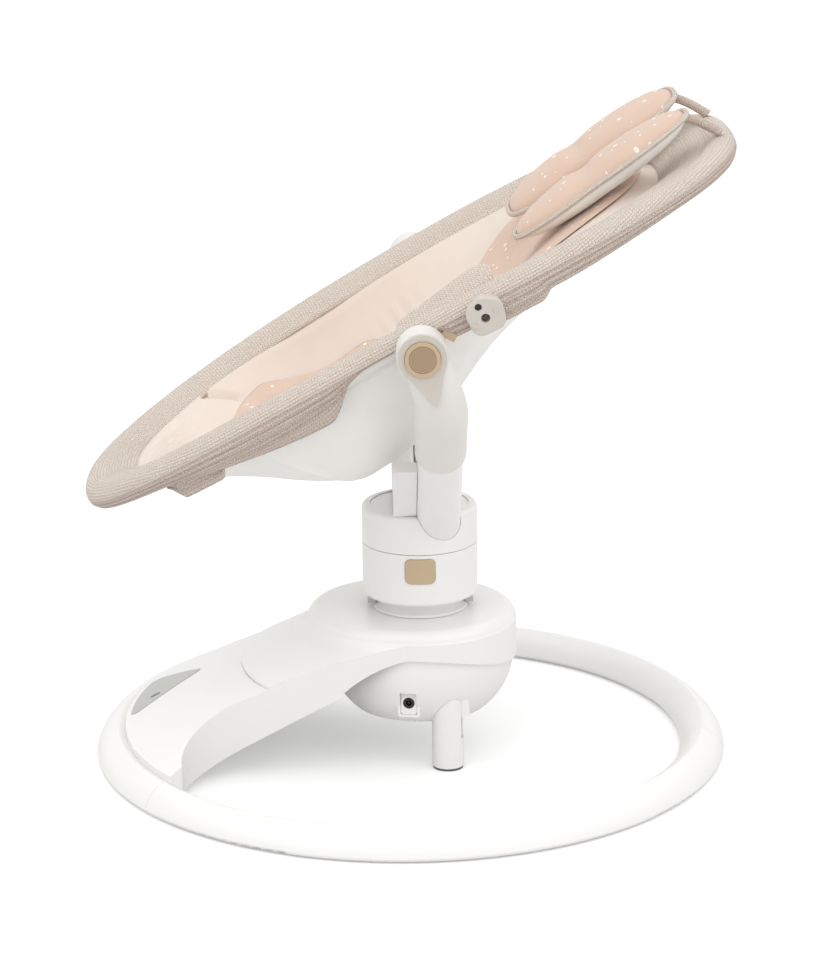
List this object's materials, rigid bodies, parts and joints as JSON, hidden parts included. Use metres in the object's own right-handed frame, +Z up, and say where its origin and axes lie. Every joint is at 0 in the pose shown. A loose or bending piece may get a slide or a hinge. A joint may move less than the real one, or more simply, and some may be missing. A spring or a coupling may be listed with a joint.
{
  "type": "baby swing",
  "caption": "Powered infant swing: floor ring with a motor hub, turning forked arms and a reclining padded seat with a head pillow, push buttons and toy bar sockets.",
  "frame": {"origin": "centre of the floor ring, on the floor", "axes": "+Z up, +X towards the seat's head end, -X towards the control tongue under the feet, +Y to the far side in the picture"},
  "size_m": [0.6034, 0.599, 0.6229],
  "materials": {
    "white_plastic": "satin moulded shell",
    "white_metal": "white enamel tube",
    "pale_grey_plastic": "fine matt mould texture",
    "grey_plastic": "fine matt mould texture",
    "tan_plastic": "smooth moulded",
    "dark_plastic": "dark moulded",
    "board": "lacquered board",
    "grey_rubber": "soft foot",
    "grey_metal": "grey enamel",
    "steel": "zinc plated",
    "gear_plastic": "natural moulded gear",
    "beige_knit": "melange knit",
    "white_fabric": "smooth jersey",
    "pale_pink_fabric": "smooth jersey",
    "pink_fabric": "soft plush"
  },
  "bodies": {
    "base": {"ring_near": "white_plastic", "ring_far": "white_plastic", "ring_spigots": "grey_metal", "floor_pads": "grey_rubber", "base_shell": "white_plastic", "control_panel": "pale_grey_plastic", "panel_window": "dark_plastic", "tongue_cover": "white_plastic", "circuit_board": "board", "speaker": "dark_plastic", "hub_pan": "white_plastic", "jack_plate": "dark_plastic", "dc_socket": "dark_plastic", "support_leg": "white_plastic", "leg_pad": "grey_rubber", "shaft_bearings": "steel", "drive_motor": "steel"},
    "pinion": {"drive_pinion": "gear_plastic"},
    "turret": {"drive_sector": "gear_plastic", "swing_column": "steel", "neck_brackets": "steel", "yoke_tube": "white_metal", "yoke_web": "white_plastic", "turret_lower": "white_plastic", "turret_upper": "white_plastic", "turret_cap": "white_plastic", "elbow_near": "pale_grey_plastic", "elbow_far": "pale_grey_plastic", "pivot_plate_near": "grey_plastic", "pivot_plate_far": "grey_plastic"},
    "release_near": {"release_button_near": "tan_plastic"},
    "release_far": {"release_button_far": "tan_plastic"},
    "recline_near": {"recline_button_near": "tan_plastic"},
    "recline_far": {"recline_button_far": "tan_plastic"},
    "seat": {"rim_tube_head": "grey_metal", "rim_tube_feet": "grey_metal", "side_joint_near": "grey_plastic", "side_joint_far": "grey_plastic", "toy_socket_near": "pale_grey_plastic", "toy_socket_far": "pale_grey_plastic", "stop_tab_near": "tan_plastic", "stop_tab_far": "tan_plastic", "socket_screws": "steel", "rim_cover_head": "beige_knit", "rim_cover_feet": "beige_knit", "seat_sling": "white_fabric", "seat_liner": "pale_pink_fabric", "seat_insert": "pink_fabric", "head_pillow": "pink_fabric", "pillow_straps": "beige_knit"}
  },
  "joints": [
    {"name": "swing", "type": "hinge", "parent": "base", "child": "turret", "pos_m": [0.011, 0, 0], "axis": [0, 0, 1], "range_deg": [-29.7, 10.3]},
    {"name": "pinion_spin", "type": "hinge", "parent": "base", "child": "pinion", "pos_m": [-0.0295, 0, 0.088], "axis": [0, 0, 1], "range_deg": [-36.05, 103.95]},
    {"name": "recline", "type": "hinge", "parent": "turret", "child": "seat", "pos_m": [0.011, 0, 0.4325], "axis": [-0.1685, 0.9857, 0], "range_deg": [-6, 15]},
    {"name": "press_release_near", "type": "slide", "parent": "turret", "child": "release_near", "axis": [-0.1513, 0.9885, 0], "range_m": [0, 0.003], "stiffness_N_per_m": 600, "springref_m": -0.001},
    {"name": "press_release_far", "type": "slide", "parent": "turret", "child": "release_far", "axis": [0.1857, -0.9826, 0], "range_m": [0, 0.003], "stiffness_N_per_m": 600, "springref_m": -0.001},
    {"name": "press_recline_near", "type": "slide", "parent": "turret", "child": "recline_near", "axis": [-0.1685, 0.9857, 0], "range_m": [0, 0.004], "stiffness_N_per_m": 600, "springref_m": -0.001},
    {"name": "press_recline_far", "type": "slide", "parent": "turret", "child": "recline_far", "axis": [0.1685, -0.9857, 0], "range_m": [0, 0.004], "stiffness_N_per_m": 600, "springref_m": -0.001}
  ],
  "couplings": [
    {"joint": "pinion_spin", "follows": "swing", "ratio": -3.5}
  ]
}
